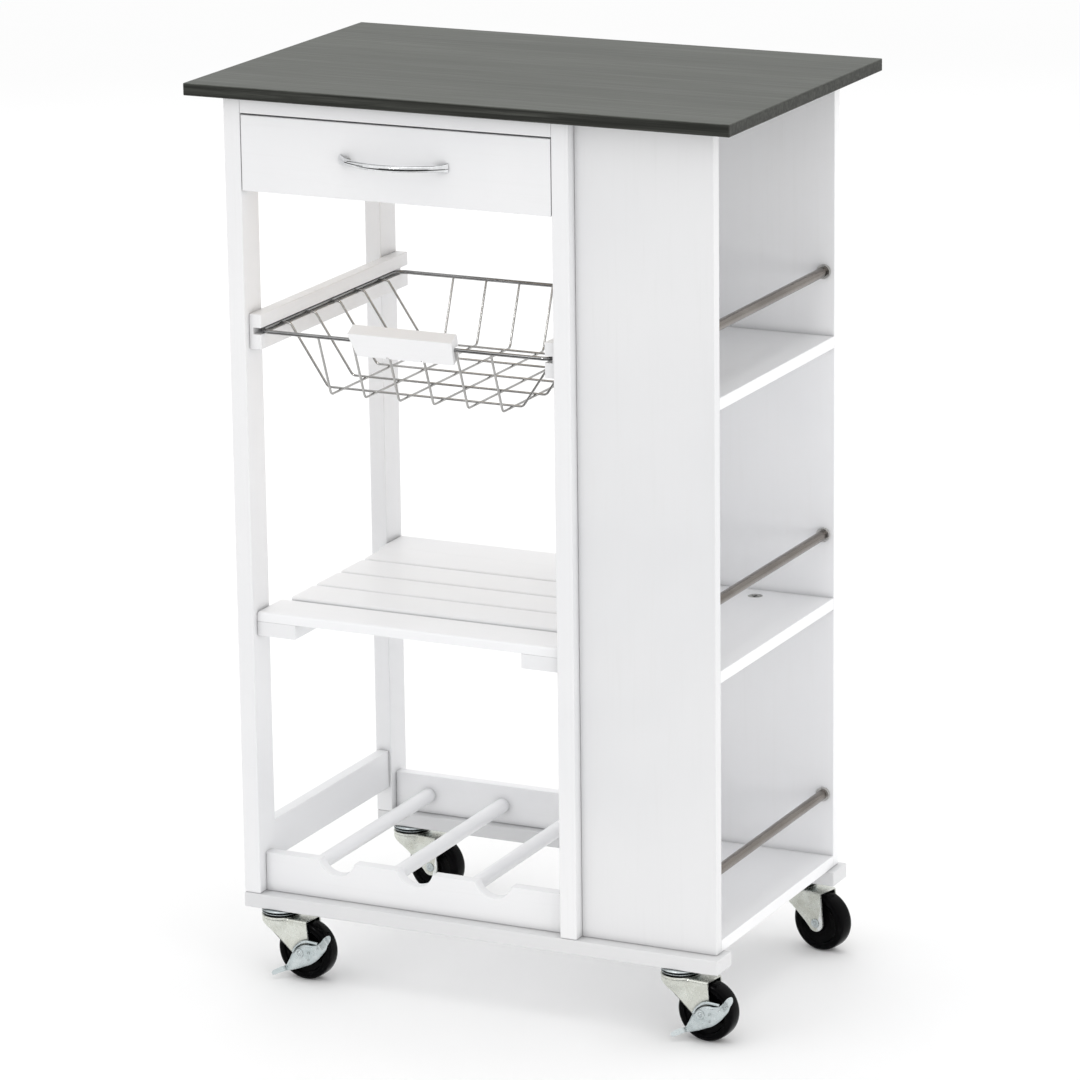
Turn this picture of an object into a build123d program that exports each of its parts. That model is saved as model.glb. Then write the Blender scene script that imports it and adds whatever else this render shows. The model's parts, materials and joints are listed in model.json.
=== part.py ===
from build123d import *
import math
import os

# Rolling kitchen cart: an open bay on the left with a drawer, a pull-out wire basket, a slatted
# shelf and a bottle rack, a three-shelf side compartment on the right, and four swivel casters.
# Frame: +X to the right, -Y to the front, +Z up, floor at Z = 0. Lengths are in millimetres.

# ---- Driving dimensions ----
HEIGHT = 900.0            # floor to the top of the worktop
TOP_LENGTH = 570.0        # worktop, along X
TOP_DEPTH = 370.0         # worktop, along Y
CARCASS_DEPTH = 321.0     # post fronts to post backs
FRONT_OVERHANG = 15.0     # worktop edge in front of the posts
HANDLE_REACH = 27.0       # drawer handle in front of the drawer
BOARD = 12.0              # thickness of every flat board
POST_WIDTH = 17.5         # posts, along X
POST_DEPTH = 34.0         # posts and rails, along Y
RAIL_HEIGHT = 15.0
TOP_RAIL_HEIGHT = 16.0
SIDE_BOARD_HEIGHT = 70.0  # board between the left posts, under the worktop
EASE = 1.0                # rounding of lacquered edges

# ---- Stations along X ----
LEFT = -250.0                          # outer face of the left posts
BAY_LEFT = LEFT + POST_WIDTH           # open bay, between the inner faces of the posts
BAY_RIGHT = 97.0
DIVIDER_RIGHT = BAY_RIGHT + POST_WIDTH
SIDE_RIGHT = 257.0                     # open edge of the side compartment
RAIL_RIGHT = 264.0
BAY_MIDDLE = (BAY_LEFT + BAY_RIGHT) / 2

# ---- Stations along Y: the handle sets the worktop back, so the outline is centred on Y = 0 ----
TOP_SHIFT = (HANDLE_REACH - FRONT_OVERHANG) / 2
FRONT = -TOP_DEPTH / 2 + TOP_SHIFT + FRONT_OVERHANG
BACK = FRONT + CARCASS_DEPTH
POST_FRONT_REAR = FRONT + POST_DEPTH
POST_BACK_FACE = BACK - POST_DEPTH
SIDE_SETBACK = 13.0                    # compartment and rack boards behind the post fronts
SIDE_FRONT = (FRONT + SIDE_SETBACK, FRONT + SIDE_SETBACK + BOARD)
SIDE_BACK = (BACK - 6.0 - BOARD, BACK - 6.0)

# ---- Stations along Z ----
CASTER_HEIGHT = 70.0
BASE = CASTER_HEIGHT + RAIL_HEIGHT     # everything stands on the base rails
UNDER_TOP = HEIGHT - BOARD

# ---- Side compartment ----
SHELF_TOPS = {"upper_side_shelf": 632.0, "middle_side_shelf": 366.0, "bottom_side_panel": BASE + BOARD}
ROD_RISE = 64.0                        # guard rod axis above its shelf
ROD_X = 246.0
ROD_RADIUS = 5.0
SOCKET_RADIUS = 7.0
SOCKET_LENGTH = 4.0
ROD_INSERT = 6.0                       # of each rod end inside its board
CAM_RADIUS = 7.5
CAM_INSET = 23.0
CAM_X = 182.0
CAM_HOLE = 9.0                         # depth in the shelf
CAM_SUNK = 0.4                         # top of the lock below the shelf top
CAM_SLOT = (8.0, 1.8, 2.5)             # length, width and depth

# ---- Drawer ----
DRAWER_GAP = 0.75
DRAWER_FRONT_Z = (796.5, 870.5)
DRAWER_FRONT_THICK = 15.0
DRAWER_SIDE_GAP = 10.5                 # post to drawer side, filled by the runner
DRAWER_BOX_LENGTH = 255.0
DRAWER_BOX_Z = (808.0, 862.0)
DRAWER_BOTTOM = 4.0
DRAWER_BOTTOM_Z = 812.0
GROOVE_DEPTH = 5.0
RUNNER_Z = 835.0                       # also the handle's height
RUNNER_HEIGHT = 9.2
RUNNER_PLAY = 0.4
HANDLE_HOLES = 96.0
HANDLE_CHORD = 114.0
HANDLE_SECTION = (10.0, 5.5)
SCREW_RADIUS = 2.0

# ---- Wire basket ----
RIM_RADIUS = 2.0
WIRE_RADIUS = 1.2
RIM_Z = 656.2
RIM_INSERT = 5.5                       # rim centre line inside the runner groove
RIM_Y = (FRONT + 14.0, FRONT + 306.0)
RIM_CORNER = 12.0
BASKET_FLOOR_Z = 593.7                 # centre line of the lower floor wires
BASKET_FLOOR_X = (-173.0, 37.5)
BASKET_FLOOR_Y = (-126.0, 118.0)
WIRE_GAP = 0.02                        # between crossing floor wires
WIRE_BEND = 6.0
LONG_WIRES = 6
LONG_PITCH = 37.0
CROSS_WIRES = 5
CROSS_PITCH = 52.0
BASKET_RUNNER = 13.0
BASKET_RUNNER_Z = (639.0, 674.0)
BASKET_GROOVE_Z = (653.9, 660.6)
BASKET_GROOVE_DEPTH = 8.5
GRIP_LENGTH = (112.0, 104.0)           # at its top and bottom edges
GRIP_THICK = 15.0
GRIP_HEIGHT = 28.0
GRIP_TILT = 28.0
GRIP_TOP_EDGE = (RIM_Y[0] - 11.0, RIM_Z + 8.3)  # front top edge, as Y and Z

# ---- Slatted shelf ----
BEARER_WIDTH = 42.0
BEARER_Z = (350.0, 365.0)
SLAT_PITCH = 52.2
SLAT_WIDTH = 50.0
SLAT_START = FRONT + 8.0
SLAT_COUNT = 6
END_SLAT_THICK = 10.0
MID_SLAT_THICK = 12.0
MID_SLAT_INSET = 8.5
SLAT_ROUND = 3.0

# ---- Bottle rack ----
RACK_BOARD_HEIGHT = 40.0
NOTCH_X = (-153.0, -67.0, 19.0)
NOTCH_DEPTH = 14.5
NOTCH_WIDTH = 39.0
NOTCH_SHOULDER = 5.0
DOWEL_X = (-194.0, -109.0, -23.0)
DOWEL_RADIUS = 7.5
DOWEL_Z = 105.0
RACK_BACK_FACE = 133.0
RACK_SIDE_Z = (111.0, 151.0)

# ---- Casters ----
WHEEL_RADIUS = 30.0
WHEEL_WIDTH = 20.0
HUB_WIDTH = 22.0
TRAIL = 31.0                           # axle behind the swivel axis
AXLE_RADIUS = 3.0
RUNNING_CLEARANCE = 0.05
RACE_RADIUS = 20.0
RACE_EASE = 2.0
LEG_INNER = 11.5                       # inner face of a fork leg from the wheel's middle plane
LEG_THICK = 2.0
LEG_TIP_RADIUS = 8.8
PLATE_Z = (60.6, 62.6)                 # fork crown above the wheel
DISH_TOP = 64.6
RACE_BOTTOM = 65.0
LEVER_THICK = 1.5
LEVER_ANGLE = 37.0
LEVER_LENGTH = 62.0
LEVER_WIDTH = 27.0
STEM_RADIUS = 4.0
STEM_LENGTH = 13.0                     # inside the rail
SWIVEL_X = 218.0
SWIVEL_FRONT_Y = FRONT - 1.5 + POST_DEPTH / 2
SWIVEL_BACK_Y = BACK - POST_DEPTH / 2
CASTERS = {                            # x, y, swivel angle from +X in degrees, has a brake
    "front_left": (-SWIVEL_X, SWIVEL_FRONT_Y, -4.0, True),
    "front_right": (SWIVEL_X, SWIVEL_FRONT_Y, -6.0, True),
    "back_left": (-SWIVEL_X, SWIVEL_BACK_Y, -8.0, False),
    "back_right": (SWIVEL_X, SWIVEL_BACK_Y, -13.0, False),
}

os.makedirs("parts", exist_ok=True)


def finish(piece, name):
    """Label a finished piece and write it as its own STEP file."""
    piece.part.label = name
    export_step(piece.part, f"parts/{name}.step")


def board(x, y, z, ease=EASE):
    """A straight board that fills the ranges x, y and z, with all its edges eased."""
    with BuildPart() as piece:
        with BuildSketch(Plane.XY.offset(z[0])):
            with Locations((sum(x) / 2, sum(y) / 2)):
                Rectangle(x[1] - x[0], y[1] - y[0])
        extrude(amount=z[1] - z[0])
        fillet(piece.edges(), ease)
    return piece


# ======== Worktop ========
with BuildPart() as worktop:
    with BuildSketch(Plane.XY.offset(UNDER_TOP)):
        with Locations((0, TOP_SHIFT)):
            Rectangle(TOP_LENGTH, TOP_DEPTH)
    extrude(amount=BOARD)
    chamfer(worktop.edges(), 0.6)
finish(worktop, "worktop")


# ======== Carcass ========
for side, x in {"left": (LEFT, BAY_LEFT), "middle": (BAY_RIGHT, DIVIDER_RIGHT)}.items():
    finish(board(x, (FRONT, POST_FRONT_REAR), (BASE, UNDER_TOP)), f"front_{side}_post")
    finish(board(x, (POST_BACK_FACE, BACK), (BASE, UNDER_TOP)), f"back_{side}_post")


def base_rail(y, swivel_y):
    """A base rail lying flat, drilled from below for two caster stems."""
    with BuildPart() as rail:
        with BuildSketch(Plane.XY.offset(CASTER_HEIGHT)):
            with Locations(((LEFT + RAIL_RIGHT) / 2, sum(y) / 2)):
                Rectangle(RAIL_RIGHT - LEFT, y[1] - y[0])
        extrude(amount=RAIL_HEIGHT)
        fillet(rail.edges(), 1.5)
        with Locations(Plane((0, 0, CASTER_HEIGHT), x_dir=(1, 0, 0), z_dir=(0, 0, -1))):
            with Locations((-SWIVEL_X, -swivel_y), (SWIVEL_X, -swivel_y)):
                Hole(STEM_RADIUS + RUNNING_CLEARANCE, depth=STEM_LENGTH)
    return rail


finish(base_rail((FRONT - 1.5, FRONT - 1.5 + POST_DEPTH), SWIVEL_FRONT_Y), "front_base_rail")
finish(base_rail((POST_BACK_FACE, BACK), SWIVEL_BACK_Y), "back_base_rail")

BAY = (BAY_LEFT, BAY_RIGHT)
TOP_RAIL_Z = (UNDER_TOP - TOP_RAIL_HEIGHT, UNDER_TOP)
finish(board(BAY, (FRONT, POST_FRONT_REAR), TOP_RAIL_Z), "front_top_rail")
finish(board(BAY, (POST_BACK_FACE, BACK), TOP_RAIL_Z), "back_top_rail")

LEFT_BOARD_X = (LEFT + (POST_WIDTH - BOARD) / 2, LEFT + (POST_WIDTH + BOARD) / 2)
BETWEEN_POSTS = (POST_FRONT_REAR, POST_BACK_FACE)
UPPER_SIDE_Z = (UNDER_TOP - SIDE_BOARD_HEIGHT, UNDER_TOP)
finish(board(LEFT_BOARD_X, BETWEEN_POSTS, UPPER_SIDE_Z), "upper_left_side_board")
finish(board(LEFT_BOARD_X, BETWEEN_POSTS, RACK_SIDE_Z), "lower_left_side_board")
finish(board((DIVIDER_RIGHT - BOARD, DIVIDER_RIGHT), BETWEEN_POSTS, (BASE, UNDER_TOP)), "divider_panel")


# ======== Side compartment ========
COMPARTMENT = (DIVIDER_RIGHT, SIDE_RIGHT)


def compartment_board(y, inner_face, outward):
    """A compartment board with a blind hole for each guard rod in its inner face."""
    with BuildPart() as panel:
        with BuildSketch(Plane.XY.offset(BASE)):
            with Locations((sum(COMPARTMENT) / 2, sum(y) / 2)):
                Rectangle(COMPARTMENT[1] - COMPARTMENT[0], BOARD)
        extrude(amount=UNDER_TOP - BASE)
        fillet(panel.edges(), EASE)
        for shelf_top in SHELF_TOPS.values():
            with BuildSketch(Plane.XZ.offset(-inner_face)):
                with Locations((ROD_X, shelf_top + ROD_RISE)):
                    Circle(ROD_RADIUS)
            extrude(amount=outward * ROD_INSERT, mode=Mode.SUBTRACT)
    return panel


finish(compartment_board(SIDE_FRONT, SIDE_FRONT[1], 1), "compartment_front_board")
finish(compartment_board(SIDE_BACK, SIDE_BACK[0], -1), "compartment_back_board")

SHELF_Y = (SIDE_FRONT[1], SIDE_BACK[0])
CAM_Y = (SHELF_Y[0] + CAM_INSET, SHELF_Y[1] - CAM_INSET)
for name, top in SHELF_TOPS.items():
    with BuildPart() as shelf:
        with BuildSketch(Plane.XY.offset(top - BOARD)):
            with Locations((sum(COMPARTMENT) / 2, sum(SHELF_Y) / 2)):
                Rectangle(COMPARTMENT[1] - COMPARTMENT[0], SHELF_Y[1] - SHELF_Y[0])
        extrude(amount=BOARD)
        fillet(shelf.edges(), EASE)
        if name == "middle_side_shelf":
            with BuildSketch(Plane.XY.offset(top)):
                with Locations(*[(CAM_X, y) for y in CAM_Y]):
                    Circle(CAM_RADIUS)
            extrude(amount=-CAM_HOLE, mode=Mode.SUBTRACT)
    finish(shelf, name)

# Cam locks: discs in the middle shelf with a cross slot for the screwdriver.
with BuildPart() as cam_locks:
    cam_top = SHELF_TOPS["middle_side_shelf"] - CAM_SUNK
    with BuildSketch(Plane.XY.offset(cam_top)):
        with Locations(*[(CAM_X, y) for y in CAM_Y]):
            Circle(CAM_RADIUS)
    extrude(amount=CAM_SUNK - CAM_HOLE)
    with BuildSketch(Plane.XY.offset(cam_top)):
        with Locations(*[(CAM_X, y) for y in CAM_Y]):
            Rectangle(CAM_SLOT[0], CAM_SLOT[1])
            Rectangle(CAM_SLOT[1], CAM_SLOT[0])
    extrude(amount=-CAM_SLOT[2], mode=Mode.SUBTRACT)
finish(cam_locks, "cam_locks")

# Guard rods, let into the compartment boards at both ends.
with BuildPart() as guard_rods:
    with BuildSketch(Plane.XZ.offset(-(SHELF_Y[0] - ROD_INSERT))):
        with Locations(*[(ROD_X, top + ROD_RISE) for top in SHELF_TOPS.values()]):
            Circle(ROD_RADIUS)
    extrude(amount=-(SHELF_Y[1] - SHELF_Y[0] + 2 * ROD_INSERT))
    chamfer(guard_rods.edges(), 0.5)
finish(guard_rods, "guard_rods")

# Collars that cover the rod holes.
with BuildPart() as rod_collars:
    for face, outward in ((SHELF_Y[0], -1), (SHELF_Y[1], 1)):
        with BuildSketch(Plane.XZ.offset(-face)):
            with Locations(*[(ROD_X, top + ROD_RISE) for top in SHELF_TOPS.values()]):
                Circle(SOCKET_RADIUS)
                Circle(ROD_RADIUS, mode=Mode.SUBTRACT)
        extrude(amount=outward * SOCKET_LENGTH)
finish(rod_collars, "rod_collars")


# ======== Drawer ========
DRAWER_X = (BAY_LEFT + DRAWER_GAP, BAY_RIGHT - DRAWER_GAP)
BOX_X = (BAY_LEFT + DRAWER_SIDE_GAP, BAY_RIGHT - DRAWER_SIDE_GAP)
DRAWER_REAR_FACE = FRONT + DRAWER_FRONT_THICK
BOX_Y = (DRAWER_REAR_FACE, DRAWER_REAR_FACE + DRAWER_BOX_LENGTH)
HANDLE_SCREW_X = (BAY_MIDDLE - HANDLE_HOLES / 2, BAY_MIDDLE + HANDLE_HOLES / 2)

with BuildPart() as drawer_front:
    with BuildSketch(Plane.XY.offset(DRAWER_FRONT_Z[0])):
        with Locations((BAY_MIDDLE, FRONT + DRAWER_FRONT_THICK / 2)):
            Rectangle(DRAWER_X[1] - DRAWER_X[0], DRAWER_FRONT_THICK)
    extrude(amount=DRAWER_FRONT_Z[1] - DRAWER_FRONT_Z[0])
    fillet(drawer_front.edges(), EASE)
    with BuildSketch(Plane.XY.offset(DRAWER_BOTTOM_Z)):
        with Locations((BAY_MIDDLE, DRAWER_REAR_FACE - GROOVE_DEPTH / 2)):
            Rectangle(BOX_X[1] - BOX_X[0] - 2 * (BOARD - GROOVE_DEPTH), GROOVE_DEPTH)
    extrude(amount=DRAWER_BOTTOM, mode=Mode.SUBTRACT)
    with BuildSketch(Plane.XZ.offset(-FRONT)):
        with Locations(*[(x, RUNNER_Z) for x in HANDLE_SCREW_X]):
            Circle(SCREW_RADIUS)
    extrude(amount=-DRAWER_FRONT_THICK, mode=Mode.SUBTRACT)
finish(drawer_front, "drawer_front")


def drawer_side(x, outer_face, inward):
    """A drawer side with a runner groove outside and a bottom groove inside."""
    with BuildPart() as side_board:
        with BuildSketch(Plane.XY.offset(DRAWER_BOX_Z[0])):
            with Locations((sum(x) / 2, sum(BOX_Y) / 2)):
                Rectangle(BOARD, DRAWER_BOX_LENGTH)
        extrude(amount=DRAWER_BOX_Z[1] - DRAWER_BOX_Z[0])
        fillet(side_board.edges().filter_by(Axis.Y), EASE)
        groove_height = RUNNER_HEIGHT + 2 * RUNNER_PLAY
        with BuildSketch(Plane.XZ.offset(-BOX_Y[0])):
            with Locations((outer_face + inward * GROOVE_DEPTH / 2, RUNNER_Z)):
                Rectangle(GROOVE_DEPTH, groove_height)
            inner_face = outer_face + inward * BOARD
            with Locations((inner_face - inward * GROOVE_DEPTH / 2, DRAWER_BOTTOM_Z + DRAWER_BOTTOM / 2)):
                Rectangle(GROOVE_DEPTH, DRAWER_BOTTOM)
        extrude(amount=-DRAWER_BOX_LENGTH, mode=Mode.SUBTRACT)
    return side_board


finish(drawer_side((BOX_X[0], BOX_X[0] + BOARD), BOX_X[0], 1), "drawer_left_side")
finish(drawer_side((BOX_X[1] - BOARD, BOX_X[1]), BOX_X[1], -1), "drawer_right_side")
BOX_INSIDE = (BOX_X[0] + BOARD, BOX_X[1] - BOARD)
DRAWER_FLOOR = DRAWER_BOTTOM_Z + DRAWER_BOTTOM
finish(board(BOX_INSIDE, (BOX_Y[1] - BOARD, BOX_Y[1]), (DRAWER_FLOOR, DRAWER_BOX_Z[1])), "drawer_back")
BOTTOM_X = (BOX_INSIDE[0] - GROOVE_DEPTH, BOX_INSIDE[1] + GROOVE_DEPTH)
BOTTOM_Y = (BOX_Y[0] - GROOVE_DEPTH, BOX_Y[1])
finish(board(BOTTOM_X, BOTTOM_Y, (DRAWER_BOTTOM_Z, DRAWER_FLOOR), 0.3), "drawer_bottom")

# Wooden runners on the posts, each reaching into the groove of a drawer side.
RUNNER_REACH = DRAWER_SIDE_GAP + GROOVE_DEPTH - 0.5
RUNNER_RANGE_Y = (DRAWER_REAR_FACE + 1.0, BACK)
RUNNER_RANGE_Z = (RUNNER_Z - RUNNER_HEIGHT / 2, RUNNER_Z + RUNNER_HEIGHT / 2)
finish(board((BAY_LEFT, BAY_LEFT + RUNNER_REACH), RUNNER_RANGE_Y, RUNNER_RANGE_Z), "drawer_runner_left")
finish(board((BAY_RIGHT - RUNNER_REACH, BAY_RIGHT), RUNNER_RANGE_Y, RUNNER_RANGE_Z), "drawer_runner_right")

# Bow handle: an oval bar along an arc, cut flat where its ends meet the drawer front.
with BuildPart() as drawer_handle:
    bow_depth = HANDLE_REACH - HANDLE_SECTION[1] / 2
    with BuildLine(Plane.XY.offset(RUNNER_Z)) as bow:
        ThreePointArc(
            (BAY_MIDDLE - HANDLE_CHORD / 2, FRONT),
            (BAY_MIDDLE, FRONT - bow_depth),
            (BAY_MIDDLE + HANDLE_CHORD / 2, FRONT),
        )
    start = bow.line ^ 0
    with BuildSketch(Plane(start.position, x_dir=(0, 0, 1), z_dir=start.z_axis.direction)):
        Ellipse(HANDLE_SECTION[0] / 2, HANDLE_SECTION[1] / 2)
    sweep(path=bow.line)
    with BuildSketch(Plane.XZ.offset(-FRONT)):
        with Locations(*[(x, RUNNER_Z) for x in HANDLE_SCREW_X]):
            Circle(4.0)
    extrude(amount=8.5)
    split(bisect_by=Plane.XZ.offset(-FRONT), keep=Keep.TOP)
    with BuildSketch(Plane.XZ.offset(-FRONT)):
        with Locations(*[(x, RUNNER_Z) for x in HANDLE_SCREW_X]):
            Circle(SCREW_RADIUS)
    extrude(amount=5.0, mode=Mode.SUBTRACT)
finish(drawer_handle, "drawer_handle")

with BuildPart() as handle_screws:
    with BuildSketch(Plane.XZ.offset(-DRAWER_REAR_FACE)):
        with Locations(*[(x, RUNNER_Z) for x in HANDLE_SCREW_X]):
            Circle(4.0)
    extrude(amount=-2.5)
    fillet(handle_screws.faces().sort_by(Axis.Y)[-2:].edges(), 1.5)
    with BuildSketch(Plane.XZ.offset(-DRAWER_REAR_FACE)):
        with Locations(*[(x, RUNNER_Z) for x in HANDLE_SCREW_X]):
            Circle(SCREW_RADIUS)
    extrude(amount=DRAWER_FRONT_THICK + 4.5)
finish(handle_screws, "handle_screws")


# ======== Wire basket and its runners ========
def basket_runner(x, groove_x):
    """A wooden runner with a full-length groove that the basket rim slides in."""
    with BuildPart() as runner:
        with BuildSketch(Plane.XY.offset(BASKET_RUNNER_Z[0])):
            with Locations((sum(x) / 2, (FRONT + 8.0 + BACK) / 2)):
                Rectangle(BASKET_RUNNER, BACK - FRONT - 8.0)
        extrude(amount=BASKET_RUNNER_Z[1] - BASKET_RUNNER_Z[0])
        fillet(runner.edges(), EASE)
        with BuildSketch(Plane.XY.offset(BASKET_GROOVE_Z[0])):
            with Locations((groove_x, (FRONT + BACK) / 2)):
                Rectangle(BASKET_GROOVE_DEPTH, BACK - FRONT)
        extrude(amount=BASKET_GROOVE_Z[1] - BASKET_GROOVE_Z[0], mode=Mode.SUBTRACT)
    return runner


GUIDE_LEFT = BAY_LEFT + BASKET_RUNNER
GUIDE_RIGHT = BAY_RIGHT - BASKET_RUNNER
half_groove = BASKET_GROOVE_DEPTH / 2
finish(basket_runner((BAY_LEFT, GUIDE_LEFT), GUIDE_LEFT - half_groove), "basket_runner_left")
finish(basket_runner((GUIDE_RIGHT, BAY_RIGHT), GUIDE_RIGHT + half_groove), "basket_runner_right")

RIM_X = (GUIDE_LEFT - RIM_INSERT, GUIDE_RIGHT + RIM_INSERT)
RIM_CENTRE = (sum(RIM_X) / 2, sum(RIM_Y) / 2)

with BuildPart() as basket_rim:
    with BuildSketch(Plane.XY.offset(RIM_Z), mode=Mode.PRIVATE) as rim_outline:
        with Locations(RIM_CENTRE):
            RectangleRounded(RIM_X[1] - RIM_X[0], RIM_Y[1] - RIM_Y[0], RIM_CORNER)
    rim_path = rim_outline.sketch.faces()[0].outer_wire()
    rim_start = rim_path ^ 0
    with BuildSketch(Plane(rim_start.position, z_dir=rim_start.z_axis.direction)):
        Circle(RIM_RADIUS)
    sweep(path=rim_path)
finish(basket_rim, "basket_rim")

LONG_X = [RIM_CENTRE[0] + (i - (LONG_WIRES - 1) / 2) * LONG_PITCH for i in range(LONG_WIRES)]
CROSS_Y = [RIM_CENTRE[1] + (i - (CROSS_WIRES - 1) / 2) * CROSS_PITCH for i in range(CROSS_WIRES)]
CROSS_FLOOR_Z = BASKET_FLOOR_Z + 2 * WIRE_RADIUS + WIRE_GAP
FLOOR_END = 8.0                        # floor wires start this far inside the corner of the bend

# Floor grid: the long wires below, the cross wires on top of them.
with BuildPart() as basket_floor:
    long_span = (BASKET_FLOOR_Y[0] + FLOOR_END, BASKET_FLOOR_Y[1] - FLOOR_END)
    with BuildSketch(Plane.XZ.offset(-long_span[0])):
        with Locations(*[(x, BASKET_FLOOR_Z) for x in LONG_X]):
            Circle(WIRE_RADIUS)
    extrude(amount=-(long_span[1] - long_span[0]))
    cross_span = (BASKET_FLOOR_X[0] + FLOOR_END, BASKET_FLOOR_X[1] - FLOOR_END)
    with BuildSketch(Plane.YZ.offset(cross_span[0])):
        with Locations(*[(y, CROSS_FLOOR_Z) for y in CROSS_Y]):
            Circle(WIRE_RADIUS)
    extrude(amount=cross_span[1] - cross_span[0])
finish(basket_floor, "basket_floor_grid")


def bent_wire(points, radii, plane):
    """A round wire along straight runs joined by arcs, drawn on a plane."""
    with BuildPart() as wire:
        with BuildLine(plane) as route:
            FilletPolyline(*points, radius=radii)
        end = route.line ^ 0
        with BuildSketch(Plane(end.position, z_dir=end.z_axis.direction)):
            Circle(WIRE_RADIUS)
        sweep(path=route.line)
    return wire.part


# Front and back wires: the ends of the long wires, up to the inside of the rim.
TOUCH = RIM_RADIUS + WIRE_RADIUS
with BuildPart() as basket_end_wires:
    for x in LONG_X:
        for rim_y, floor_y, inward in ((RIM_Y[0], BASKET_FLOOR_Y[0], 1), (RIM_Y[1], BASKET_FLOOR_Y[1], -1)):
            corners = [
                (rim_y + inward * TOUCH, RIM_Z + 1.0),
                (floor_y, BASKET_FLOOR_Z),
                (floor_y + inward * FLOOR_END, BASKET_FLOOR_Z),
            ]
            add(bent_wire(corners, WIRE_BEND, Plane.YZ.offset(x)))
finish(basket_end_wires, "basket_end_wires")

# Side wires: the ends of the cross wires, out through the runner groove to the rim.
with BuildPart() as basket_side_wires:
    for y in CROSS_Y:
        for rim_x, floor_x, inward in ((RIM_X[0], BASKET_FLOOR_X[0], 1), (RIM_X[1], BASKET_FLOOR_X[1], -1)):
            corners = [
                (rim_x + inward * RIM_RADIUS, RIM_Z),
                (rim_x + inward * (RIM_INSERT + 6.5), RIM_Z),
                (floor_x, CROSS_FLOOR_Z),
                (floor_x + inward * FLOOR_END, CROSS_FLOOR_Z),
            ]
            add(bent_wire(corners, [4.0, WIRE_BEND], Plane.XZ.offset(-y)))
finish(basket_side_wires, "basket_side_wires")

# Grip: a tilted block that the front rim wire is let into from behind.
with BuildPart() as basket_grip:
    tilt = math.radians(GRIP_TILT)
    top_middle = Vector(RIM_CENTRE[0], *GRIP_TOP_EDGE)
    grip_face = Plane(top_middle, x_dir=(1, 0, 0), z_dir=(0, -math.cos(tilt), -math.sin(tilt)))
    with BuildSketch(grip_face):
        half_top = GRIP_LENGTH[0] / 2
        half_bottom = GRIP_LENGTH[1] / 2
        with BuildLine():
            Polyline(
                (-half_top, 0),
                (half_top, 0),
                (half_bottom, -GRIP_HEIGHT),
                (-half_bottom, -GRIP_HEIGHT),
                close=True,
            )
        make_face()
    extrude(amount=-GRIP_THICK)
    fillet(basket_grip.edges(), EASE)
    with BuildSketch(Plane.YZ.offset(RIM_CENTRE[0] - half_top)):
        with Locations((RIM_Y[0], RIM_Z)):
            Circle(RIM_RADIUS)
            Rectangle(30.0, 2 * RIM_RADIUS, align=(Align.MIN, Align.CENTER))
    extrude(amount=GRIP_LENGTH[0], mode=Mode.SUBTRACT)
    with BuildSketch(Plane.XY.offset(RIM_Z - 30.0)):
        with Locations(*[(x, RIM_Y[0] + 1.0) for x in LONG_X]):
            Rectangle(2 * WIRE_RADIUS + 0.4, 40.0, align=(Align.CENTER, Align.MIN))
    extrude(amount=34.0, mode=Mode.SUBTRACT)
finish(basket_grip, "basket_grip")


# ======== Slatted shelf ========
BEARER_Y = (SLAT_START, BACK)
finish(board((BAY_LEFT, BAY_LEFT + BEARER_WIDTH), BEARER_Y, BEARER_Z), "shelf_bearer_left")
finish(board((BAY_RIGHT - BEARER_WIDTH, BAY_RIGHT), BEARER_Y, BEARER_Z), "shelf_bearer_right")


def slat(x, index, thick, corner):
    """One board of the slatted shelf, with rounded top edges and rounded corners."""
    start = SLAT_START + index * SLAT_PITCH
    with BuildPart() as strip:
        with BuildSketch(Plane.XY.offset(BEARER_Z[1])):
            with Locations((sum(x) / 2, start + SLAT_WIDTH / 2)):
                RectangleRounded(x[1] - x[0], SLAT_WIDTH, corner)
        extrude(amount=thick)
        fillet(strip.faces().sort_by(Axis.Z)[-1].edges(), SLAT_ROUND)
    return strip


finish(slat(BAY, 0, END_SLAT_THICK, 1.0), "shelf_front_slat")
finish(slat(BAY, SLAT_COUNT - 1, END_SLAT_THICK, 1.0), "shelf_back_slat")
with BuildPart() as middle_slats:
    for index in range(1, SLAT_COUNT - 1):
        add(slat((BAY_LEFT + MID_SLAT_INSET, BAY_RIGHT - MID_SLAT_INSET), index, MID_SLAT_THICK, 6.0).part)
finish(middle_slats, "shelf_middle_slats")


# ======== Bottle rack ========
with BuildPart() as rack_front:
    rack_top = BASE + RACK_BOARD_HEIGHT
    notch_radius = ((NOTCH_WIDTH / 2) ** 2 + NOTCH_DEPTH ** 2) / (2 * NOTCH_DEPTH)
    with BuildSketch(Plane.XZ.offset(-SIDE_FRONT[1])) as rack_outline:
        with Locations((BAY_MIDDLE, BASE + RACK_BOARD_HEIGHT / 2)):
            Rectangle(BAY_RIGHT - BAY_LEFT, RACK_BOARD_HEIGHT)
        with Locations(*[(x, rack_top - NOTCH_DEPTH + notch_radius) for x in NOTCH_X]):
            Circle(notch_radius, mode=Mode.SUBTRACT)
        shoulders = [
            corner
            for corner in rack_outline.vertices()
            if corner.Z > rack_top - 1.0 and BAY_LEFT + 5.0 < corner.X < BAY_RIGHT - 5.0
        ]
        fillet(shoulders, NOTCH_SHOULDER)
    extrude(amount=BOARD)
    fillet(rack_front.faces().sort_by(Axis.Y)[0].edges(), EASE)
finish(rack_front, "rack_front_board")

RACK_BACK_Y = (RACK_BACK_FACE, RACK_BACK_FACE + BOARD)
finish(board(BAY, RACK_BACK_Y, (BASE, BASE + RACK_BOARD_HEIGHT + 1.0)), "rack_back_board")

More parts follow.
